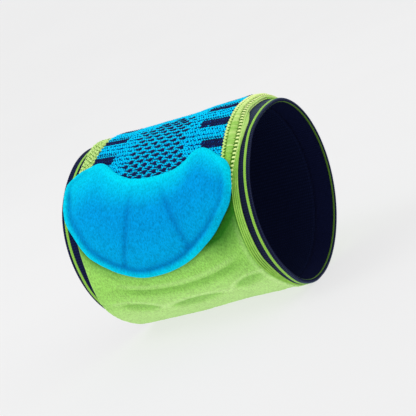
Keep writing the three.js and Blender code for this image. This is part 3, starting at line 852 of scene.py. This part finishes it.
def border_ground(end):
    """The cloth under the border's stitches: thick beside the knit, thin at its edge."""
    knit_col, thin_col = (1, 0) if end == "far" else (2, 3)
    a = np.linspace(KNIT_FROM, KNIT_TO, 320)
    e = column(KNIT_EDGES, a)
    beside, thin = e[knit_col], e[thin_col]
    t = np.linspace(0, 1, 30)[:, None]
    gap = 0.12 if end == "near" else -0.12
    x = beside[None] + gap + (thin - beside - gap)[None] * t
    A = np.repeat(a[None], 30, 0)
    d_knit, d_thin = np.abs(x - beside[None]), np.abs(thin[None] - x)
    h = 1.22 - 0.25 * smooth(d_knit, 1.0, 4.5) + knit_crown(x, A) - 0.6 * (1 - smooth(d_thin, 0.0, 0.45))
    if end == "near":
        crown = np.clip((d_knit - 1.1) / np.maximum(np.abs(thin - beside)[None] - 2.4, 0.4), 0, 1)
        h = h + 0.35 * np.sin(crown * np.pi)
    inner = np.full_like(x, 0.3)
    if end == "far":
        x, A, h = x[::-1], A[::-1], h[::-1]
    # the border cloth's tone is painted light, palest over the top
    cloth = shell("border_" + end, x, A, np.maximum(h, 0.42), inner,
                  MAT_BORDER_GROUND if end == "near" else MAT_BORDER_FAR, extra={"tone": upper(A)})
    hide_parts("knit_border_" + end)


border_ground("far")
border_ground("near")

# far border: an openwork knit; dark green spots between its stitches stand for the holes, painted shade
pitch_x, pitch_a = 1.05, 0.86
rows_a = arc_steps(8.0, KNIT_FROM + 0.5, KNIT_TO - 0.5, pitch_a)
bx, ba = np.meshgrid(np.arange(2.0, 11.6, pitch_x), rows_a, indexing="ij")
bx = bx + 0.5 * pitch_x * (np.arange(len(rows_a)) % 2)[None]
be = column(KNIT_EDGES, ba)


def border_level(x, a, e):
    """Height of the far border's stitches."""
    return 1.32 - 0.25 * smooth(e[1] - x, 1.0, 4.5) + knit_crown(x, a) - 0.45 * (1 - smooth(x - e[0], 0.2, 0.8))


keep = (bx > be[0] + 0.35) & (bx < be[1] - 0.2)
wob = rng.normal(0, 1, (3, int(keep.sum())))
strands("border_knit_far", bx[keep] + 0.13 * wob[0], turn_mm(bx[keep], ba[keep], 0.12 * wob[2]), border_level(bx, ba, be)[keep], 26.0 * wob[1],
        1.02, 1.24 + 0.06 * wob[2], 0.18, 0.03, MAT_LIME, "knit_green", sides=6, rings=3)
# its eyelets, staggered from row to row: dark green spots, painted shade in the holes
hole_x, hole_a = np.meshgrid(np.arange(2.0, 11.6, 1.9), rows_a, indexing="ij")
hole_x = hole_x + 0.95 * (np.arange(len(rows_a)) % 2)[None] + 0.10 * rng.normal(0, 1, hole_x.shape)
he = column(KNIT_EDGES, hole_a)
keep = (hole_x > he[0] + 0.8) & (hole_x < he[1] - 0.5)
grow = (0.3 + 0.7 * smooth(hole_a, 0.0, 18.0))[keep] * (1 + 0.12 * rng.normal(0, 1, int(keep.sum())))
strands("border_eyelets_far", hole_x[keep], hole_a[keep], border_level(hole_x, hole_a, he)[keep] + 0.10, rng.normal(0, 10, int(keep.sum())),
        0.56 * grow, 0.58 * grow, 0.26, 0.02, MAT_EYELET, "knit_green", sides=5, rings=3, blunt=0.7)
far_a = np.linspace(KNIT_FROM + 0.4, KNIT_TO - 0.4, 420)
far_e = column(KNIT_EDGES, far_a)
cords("border_edge_far", [(far_e[0] + 0.28, far_a, 0.62 + knit_crown(far_e[0], far_a))], 0.30, 0.30, MAT_LIME,
      wobble=lambda x, a: 1 + 0.14 * np.cos(np.deg2rad(a) * 190))

# near border: zigzag over the knit's edge, a satin band, and bars between eyelets
steps = arc_steps(63.5, KNIT_FROM + 0.4, KNIT_TO - 0.4, PITCH)
be = column(KNIT_EDGES, steps)
half = np.rad2deg(PITCH / 2 / 31.5)
zx = np.concatenate([be[2] + 0.36, be[2] + 0.44])
za = np.concatenate([steps, steps + half])
# the zigzag's tone is painted light, palest over the top
strands("border_zigzag_near", zx, za, 1.52 + knit_crown(zx, za), np.concatenate([np.full(len(steps), 30.0), np.full(len(steps), -30.0)]),
        1.75, 0.46, 0.44, 0.20, MAT_CREAM, "knit_green", sides=6, rings=5, tone=upper(za))
satin = arc_steps(63.5, KNIT_FROM + 0.4, KNIT_TO - 0.4, 0.54)
se_ = column(KNIT_EDGES, satin)
wide = np.maximum(se_[3] - se_[2] - 2.35, 0.9)
wob = rng.normal(0, 1, (3, len(satin)))
# the satin's tone is painted light over the top, with some random unevenness
strands("border_satin_near", se_[2] + 1.15 + wide / 2 + 0.03 * wob[0], satin, 1.30 + knit_crown(se_[2] + 2.3, satin), 5.0 * wob[1], wide + 0.35, 0.62, 0.50, 0.36,
        MAT_SATIN, "knit_green", sides=6, rings=7, blunt=0.35, tone=np.clip(upper(satin) + 0.15 * wob[2], 0, 1))
bars_at = arc_steps(64.6, KNIT_FROM + 0.4, KNIT_TO - 0.4, 1.42)
ex = column(KNIT_EDGES, bars_at)[3] - 0.66 + 0.3 * smooth(bars_at, 40.0, 56.0)
# the bars' tone is half pale everywhere and painted light over the top
strands("border_bars_near", ex, bars_at, 1.02 + knit_crown(ex, bars_at), 0.0, 1.42, 0.84, 0.46, 0.16, MAT_CREAM, "knit_green", sides=7, rings=5, blunt=0.35, tone=0.5 + 0.5 * upper(bars_at))
holes_at = (bars_at[1:] + bars_at[:-1]) / 2
hx = column(KNIT_EDGES, holes_at)[3] - 0.70 + 0.3 * smooth(holes_at, 40.0, 56.0)
# the near eyelets: dark green spots between the bars, painted shade in the holes
strands("border_eyelets_near", hx, holes_at, 1.22 + knit_crown(hx, holes_at), 0.0, 0.88, 0.64, 0.32, 0.02, MAT_EYELET, "knit_green", sides=7, rings=4, blunt=0.6)

near_a = np.linspace(KNIT_FROM + 0.4, 60.0, 420)
near_e = column(KNIT_EDGES, near_a)
cords("border_edge_near", [(near_e[3] - 0.12, near_a, 0.58 + knit_crown(near_e[3], near_a))], 0.30, 0.36, MAT_LIME,
      wobble=lambda x, a: 1 + 0.12 * np.cos(np.deg2rad(a) * 165))

# ------------------------------------------------------------------ cover seam on the near band
seam_a = np.linspace(SEAM_FROM, SEAM_TO, 760)
inner_x, outer_x = column(SEAM_EDGES, seam_a)
close = np.sqrt(np.clip(np.minimum(seam_a - SEAM_FROM, SEAM_TO - seam_a) / 1.5, 0, 1))
flatter = 1 - 0.9 * smooth(seam_a, 122.0, 150.0) * (1 - smooth(seam_a, 225.0, 260.0))
middle = (inner_x + outer_x) / 2
lines, n_cords = [], 4
for k in range(n_cords):
    share = (k + 0.5) / n_cords
    target = inner_x + (outer_x - inner_x) * share
    lines.append((middle + (target - middle) * (0.25 + 0.75 * close), seam_a, 0.30 * (0.3 + 0.7 * flatter) + 0.36 * (1 - share) * close * flatter))
spread = (outer_x - inner_x) / n_cords * (0.50 - 0.18 * smooth(seam_a, 98.0, 116.0) * (1 - smooth(seam_a, 240.0, 260.0)))
# the seam's tone is painted light: palest over the top, fading out by 42 degrees
cords("cover_seam", lines, spread, 0.12 + 0.20 * flatter, MAT_SEAM, sides=6,
      wobble=lambda x, a: 1 + 0.07 * np.cos(np.deg2rad(a) * 330), tone=lambda a: 1 - smooth(a, 24.0, 42.0))

# ------------------------------------------------------------------ velour panel
v = np.concatenate([np.linspace(VELOUR_FROM, 170, 250), np.linspace(170, VELOUR_TO, 190)[1:]])
edges = column(VELOUR_EDGES, v)
u = np.concatenate([[0, 0.0015, 0.004, 0.008], np.linspace(0.013, 0.987, 162), [0.992, 0.996, 0.9985, 1]])
gx = edges[0][None] + (edges[1] - edges[0])[None] * u[:, None]
ga = np.repeat(v[None], len(u), 0)


def soft_step(d, radius):
    """Height share of a rounded edge at a distance d from it."""
    return np.sqrt(np.clip(1 - (1 - np.clip(d / radius, 0, 1)) ** 2, 0, 1))


def velour_relief(x, a):
    radius = sleeve(x, a) + velour_out(x)
    depth, shade, painted_ridge_highlight = np.zeros_like(x), np.zeros_like(x), np.zeros_like(x)
    for cx, ca, half_long, half_wide, turn, deep in VELOUR_DENTS:
        dx, ds, t = x - cx, radius * np.deg2rad(a - ca), math.radians(turn)
        along = (dx * math.cos(t) - ds * math.sin(t)) / half_long
        across = (dx * math.sin(t) + ds * math.cos(t)) / half_wide
        r = np.hypot(along, across)
        # steep on the upper side, fading out below
        falls = np.where(across < 0, smooth(r, 1.08, 0.72), smooth(r, 1.25, 0.2))
        depth = np.maximum(depth, 0.56 * deep * falls)
        shade = np.maximum(shade, falls * (0.4 + 0.6 * smooth(across, 1.0, -0.9)))
        # painted highlight just outside each dent's upper rim
        painted_ridge_highlight = np.maximum(painted_ridge_highlight, np.exp(-(((r - 1.3) / 0.18) ** 2)) * smooth(across, 0.2, -0.5))
    along = (x - 35.0) / 26.0
    top = 114.4 - 9.8 * along**2
    off = radius * np.deg2rad(a - top)
    arc = smooth(off, -0.3, 0.5) * (1 - smooth(off, 0.8, 4.6)) * (1 - smooth(np.abs(along), 0.62, 1.02))
    # painted highlight just above the arc
    over = np.exp(-(((off + 1.3) / 0.9) ** 2)) * (1 - smooth(np.abs(along), 0.62, 1.02))
    return np.maximum(depth, 0.42 * arc), np.maximum(shade, arc), np.maximum(painted_ridge_highlight, over)


def lumps(shape, cell, seed):
    """Smooth random field on a grid, with lumps about cell samples wide."""
    g = np.random.default_rng(seed)
    small = g.normal(0, 1, (int(shape[0] / cell) + 3, int(shape[1] / cell) + 3))
    i, j = np.arange(shape[0]) / cell, np.arange(shape[1]) / cell
    i0, j0 = i.astype(int), j.astype(int)
    fi, fj = (i - i0)[:, None], (j - j0)[None]
    fi, fj = fi * fi * (3 - 2 * fi), fj * fj * (3 - 2 * fj)
    a = small[i0][:, j0] * (1 - fi) + small[i0 + 1][:, j0] * fi
    b = small[i0][:, j0 + 1] * (1 - fi) + small[i0 + 1][:, j0 + 1] * fi
    return a * (1 - fj) + b * fj


def tab_distance(x, a):
    """Distance from the tab's outline on the flat cut, in mm; negative under the tab."""
    along = np.linspace(TAB_OUTLINE[0][0], TAB_OUTLINE[-1][0], 90)
    upper, lower = column(TAB_OUTLINE, along)
    loop = np.concatenate([np.stack([along, upper], 1), np.stack([along, lower], 1)[::-1]]) * (1.0, math.radians(33.0))
    first, span = loop, np.roll(loop, -1, 0) - loop
    long2 = np.maximum((span**2).sum(1), 1e-12)
    points = np.stack([np.ravel(x), np.ravel(a) * math.radians(33.0)], 1)
    out = np.empty(len(points))
    for start in range(0, len(points), 6000):
        rel = points[start : start + 6000, None] - first[None]
        t = np.clip((rel * span[None]).sum(2) / long2[None], 0, 1)
        out[start : start + 6000] = np.sqrt(((rel - t[..., None] * span[None]) ** 2).sum(2).min(1))
    out = out.reshape(np.shape(x))
    up, low = column(TAB_OUTLINE, x)
    covered = (x > TAB_OUTLINE[0][0]) & (x < TAB_OUTLINE[-1][0]) & (a > up) & (a < low)
    return np.where(covered, -out, out)


relief, shade, painted_ridge_highlight = velour_relief(gx, ga)
edge_d = np.minimum(np.minimum(gx - edges[0][None], edges[1][None] - gx),
                    np.minimum(ga - VELOUR_FROM, VELOUR_TO - ga) * 0.56)
pile = 0.045 * lumps(gx.shape, 1.0, 3) + 0.05 * lumps(gx.shape, 2.6, 4) + 0.04 * lumps(gx.shape, 16, 5)
push = pushed_in(gx, ga)
lying = smooth(push, 0.0, 0.12)
near_d = edges[1][None] - gx
bead = np.exp(-(((near_d - 1.0) / 0.7) ** 2)) * smooth(ga, 62.0, 74.0) * (1 - smooth(ga, 150.0, 168.0))
out = velour_out(gx) - relief + 0.16 * bead * (1 - lying) + pile * (1 - lying) * smooth(edge_d, 0.0, 0.6) - push
under = np.where((gx > 11.5) & (gx < 57.5), 0.0, 0.3)
out = out - 0.35 * smooth(gx, 57.0, 66.0) * smooth(ga, 128.0, 148.0) * (1 - smooth(ga, 215.0, 245.0)) * (1 - lying)
out = under + (out - under) * np.maximum(soft_step(edge_d, 1.0), 0.12)
beside_tab = tab_distance(gx, ga)
# painted shade on the green velour: shade in the dents and the arc, along the panel's edges, a painted shadow along the
# tab's edge, wider painted shadows beside the tab's right and left ends, and darker on the upper near end
pressed_and_shade = np.clip(
    0.26 * shade
    + 0.30 * (1 - smooth(edge_d, 0.0, 0.5))
    + 0.45 * (1 - smooth(beside_tab, 0.0, 2.6))
    + 0.78 * (1 - smooth(beside_tab, 0.8, 11.0)) * smooth(gx, 42.0, 57.0) * (1 - smooth(ga, 92.0, 112.0))
    + 0.50 * (1 - smooth(beside_tab, 0.6, 6.0)) * (1 - smooth(gx, 8.0, 24.0))
    + 0.16 * smooth(gx, 46.0, 58.0) * (1 - smooth(ga, 108.0, 126.0)),
    0, 1,
)
# painted highlight on the green velour: lighter towards the bottom, on the near edge's bead and just above the dents
# and arc, less inside the dents
painted_highlight = np.clip(0.12 + 0.75 * smooth(ga, 106.0, 138.0) + 0.35 * bead + 0.4 * painted_ridge_highlight, 0, 1) * (1 - 0.6 * np.clip(relief / 0.3, 0, 1))
velour_obj = shell("velour_cloth", gx, ga, out, under, MAT_VELOUR, extra={"pressed_and_shade": pressed_and_shade, "painted_highlight": painted_highlight})
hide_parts("velour_panel")
velour_length = float(np.linalg.norm(np.diff(place(np.full(len(v), 35.0), v, 1.0), axis=0), axis=1).sum())

# ------------------------------------------------------------------ closing tab
TAB_UNDER, TAB_WALL, TAB_PAD = 2.3, 1.5, 0.7


def tab_under(x):
    return TAB_UNDER - 0.8 * (1 - smooth(x, 3.0, 9.0))


n_along, n_round = 300, 190
w = np.linspace(0, 1, n_along)
w = 0.35 * w + 0.65 * (1 - np.cos(np.pi * w)) / 2
x_line = TAB_OUTLINE[0][0] + (TAB_OUTLINE[-1][0] - TAB_OUTLINE[0][0]) * w
top, bottom = column(TAB_OUTLINE, x_line)
q = np.linspace(0, 1, n_round)
q = 0.55 * q + 0.45 * (1 - np.cos(np.pi * q)) / 2
gx = np.repeat(x_line[:, None], n_round, 1)
ga = top[:, None] + (bottom - top)[:, None] * q[None]

# distance of each point from the tab's outline, on the flat cut
flat = np.stack([gx, np.deg2rad(ga) * 33.0], -1)
rim = np.concatenate([flat[:, 0], flat[-1, 1:-1], flat[::-1, -1], flat[0, 1:-1][::-1]])
a0, b0 = rim, np.roll(rim, -1, 0)
span = b0 - a0
long2 = np.maximum((span**2).sum(1), 1e-12)
rim_d = np.empty(gx.size)
pts = flat.reshape(-1, 2)
for s in range(0, len(pts), 4000):
    p = pts[s : s + 4000]
    rel = p[:, None] - a0[None]
    tt = np.clip((rel * span[None]).sum(2) / long2[None], 0, 1)
    rim_d[s : s + 4000] = np.sqrt((((rel - tt[..., None] * span[None])) ** 2).sum(2).min(1))
rim_d = rim_d.reshape(gx.shape)

share = (ga - top[:, None]) / (bottom - top)[:, None]
lower = smooth(share, 0.12, 0.42)  # the groove and the lines fade out towards the top edge
groove = np.exp(-(((rim_d - 2.7) / 0.62) ** 2)) * lower
pad = smooth(rim_d, 3.0, 9.5)
seams, painted_seam_shade = np.zeros_like(gx), np.zeros_like(gx)
for line in TAB_LINES:
    off = gx - column(line, ga)[0]
    seams = np.maximum(seams, np.exp(-((off / 0.9) ** 2)) * smooth(share, 0.06, 0.36) * smooth(rim_d, 2.4, 4.2))
    painted_seam_shade = np.maximum(painted_seam_shade, np.exp(-((off / 1.7) ** 2)) * smooth(share, 0.06, 0.36) * smooth(rim_d, 2.4, 4.2))
pile = 0.035 * lumps(gx.shape, 1.0, 7) + 0.035 * lumps(gx.shape, 2.6, 8) + 0.04 * lumps(gx.shape, 18, 9)
thick = TAB_WALL + 0.16 * np.exp(-(((rim_d - 1.3) / 0.9) ** 2)) - 0.42 * groove * (1 - 0.5 * smooth(gx, 50.0, 62.0)) + 0.55 * pad - 0.32 * seams * (1 - groove)
under = tab_under(gx)
# the upper edge is sewn down onto the knit, so the tab thins out there
sewn = 1 - smooth(share * (bottom - top)[:, None] * 0.57, 0.0, 5.0)
thick = thick - 0.25 * sewn
out = under + (thick + pile * smooth(rim_d, 0.0, 0.5)) * np.maximum(soft_step(rim_d, 1.25), 0.10)
fades = smooth(share, 0.12, 0.42) * (1 - 0.6 * smooth(gx, 50.0, 62.0))
ear = (1 - smooth(gx, 9.0, 14.0)) * (1 - smooth(share, 0.3, 0.5))
# painted shade on the tab: in the groove, along the sewn lines and in a broad band beside them, and along the left
# ear's edge; partly compressed pile, partly shade in these creases
pressed_and_shade = np.clip(0.50 * np.exp(-(((rim_d - 3.1) / 1.15) ** 2)) * fades + 0.30 * np.exp(-(((rim_d - 2.4) / 0.9) ** 2)) * ear
                  + 0.18 * seams + 0.24 * painted_seam_shade, 0, 1)
# painted highlight on the tab: lighter along the top edge where the light falls, on the rim from sheen, and a little
# towards the bottom
from_top = (ga - top[:, None]) * 0.57
reach = 11.5 + 7.0 * (1 - smooth(gx, 14.0, 30.0))
painted_highlight = np.clip(0.85 * (1 - smooth(from_top, 0.3, reach)) + (0.5 + 0.25 * smooth(share, 0.5, 0.9)) * (1 - 0.55 * smooth(gx, 44.0, 58.0)) * (1 - smooth(rim_d, 0.9, 3.0))
                 + 0.02 + 0.16 * smooth(share, 0.45, 0.85), 0, 1)
tab = shell("tab_cloth", gx, ga, out, under, MAT_TAB, extra={"pressed_and_shade": pressed_and_shade, "painted_highlight": painted_highlight})
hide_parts("closure_tab")

# ------------------------------------------------------------------ girth of the sleeve at its middle, worked out and not kept
flat_length(34.5)

# ------------------------------------------------------------------ stage
def sweep():
    """A pale floor that curves up into a round backdrop."""
    profile = [(0.0, 0.0), (0.3, 0.0), (0.6, 0.0)]
    for t in np.linspace(0, 1, 17)[1:]:
        profile.append((0.6 + 1.2 * t, 0.42 * t * t))
    n = 96
    pts, faces = [], []
    for r, z in profile:
        for k in range(n):
            t = 2 * math.pi * k / n
            pts.append((r * math.cos(t), r * math.sin(t), z))
    for i in range(len(profile) - 1):
        for k in range(n):
            faces.append((i * n + k, i * n + (k + 1) % n, (i + 1) * n + (k + 1) % n, (i + 1) * n + k))
    mesh = bpy.data.meshes.new("floor")
    mesh.from_pydata(pts, [], faces)
    for f in mesh.polygons:
        f.use_smooth = True
    obj = bpy.data.objects.new("floor", mesh)
    bpy.context.scene.collection.objects.link(obj)
    m = Nodes("floor_paper")
    m.colour(m.ramp(m.noise(6.0, 2.0), [(0.3, colour(112, 112, 113)), (0.7, colour(116, 116, 117))]))
    m.set(Roughness=0.9, Specular_IOR_Level=0.1, Emission_Color=(1, 1, 1, 1), Emission_Strength=0.685)
    mesh.materials.append(m.material)
    obj.visible_shadow = False
    return obj


sweep()

world = bpy.data.worlds.new("studio")
world.use_nodes = True
world.node_tree.nodes["Background"].inputs["Color"].default_value = (1.0, 1.0, 1.0, 1.0)
world.node_tree.nodes["Background"].inputs["Strength"].default_value = 0.90
bpy.context.scene.world = world


def area(name, at, to, size, watts, tint=(1, 1, 1)):
    light = bpy.data.lights.new(name, "AREA")
    light.shape, light.size, light.energy, light.color = "DISK", size, watts, tint
    obj = bpy.data.objects.new(name, light)
    obj.location = at
    obj.rotation_mode = "QUATERNION"
    obj.rotation_quaternion = (Vector(to) - Vector(at)).to_track_quat("-Z", "Y")
    bpy.context.scene.collection.objects.link(obj)
    return obj


TARGET = (0.0, 0.0, 0.03)
area("key", (-0.35, -0.30, 0.70), TARGET, 0.40, 1.6)
area("under", (-0.1, -0.25, -0.45), TARGET, 0.5, 0.25)

# ------------------------------------------------------------------ camera
UNIT = 29.5 / 1000.0
VIEW_TURN, VIEW_ROLL, REST_TURN = math.radians(31.84), math.radians(14.815), math.radians(14.0)
DISTANCE, FOCAL_PX, FRAME_PX = 12.5 * UNIT, 87.649 * 12.5, 416.0
CENTRE_PX = (206.173, 210.434)

axis = Vector((math.cos(TILT), 0, -math.sin(TILT)))
up = Vector((math.sin(TILT), 0, math.cos(TILT)))
side = Vector((0, 1, 0))
p_dir = math.cos(REST_TURN) * up + math.sin(REST_TURN) * side
q_dir = math.sin(REST_TURN) * up - math.cos(REST_TURN) * side
ct, st, cr, sr = math.cos(VIEW_TURN), math.sin(VIEW_TURN), math.cos(VIEW_ROLL), math.sin(VIEW_ROLL)
right = ct * cr * axis - sr * p_dir - st * cr * q_dir
above = ct * sr * axis + cr * p_dir - st * sr * q_dir
towards = st * axis + ct * q_dir
centre = Vector(((0 + OFFSET[0]) / 1000.0, OFFSET[1] / 1000.0, AXIS_HEIGHT / 1000.0))

camera_data = bpy.data.cameras.new("camera")
camera_data.sensor_width = 36.0
camera_data.lens = FOCAL_PX * 36.0 / FRAME_PX
camera_data.shift_x = (FRAME_PX / 2 - 0.5 - CENTRE_PX[0]) / FRAME_PX
camera_data.shift_y = (CENTRE_PX[1] - FRAME_PX / 2 + 0.5) / FRAME_PX
camera_data.clip_start, camera_data.clip_end = 0.01, 20.0
camera = bpy.data.objects.new("camera", camera_data)
bpy.context.scene.collection.objects.link(camera)
camera.matrix_world = Matrix(
    (
        (right.x, above.x, towards.x, (centre + towards * DISTANCE).x),
        (right.y, above.y, towards.y, (centre + towards * DISTANCE).y),
        (right.z, above.z, towards.z, (centre + towards * DISTANCE).z),
        (0, 0, 0, 1),
    )
)
bpy.context.scene.camera = camera
bpy.context.scene.view_settings.view_transform = "Standard"
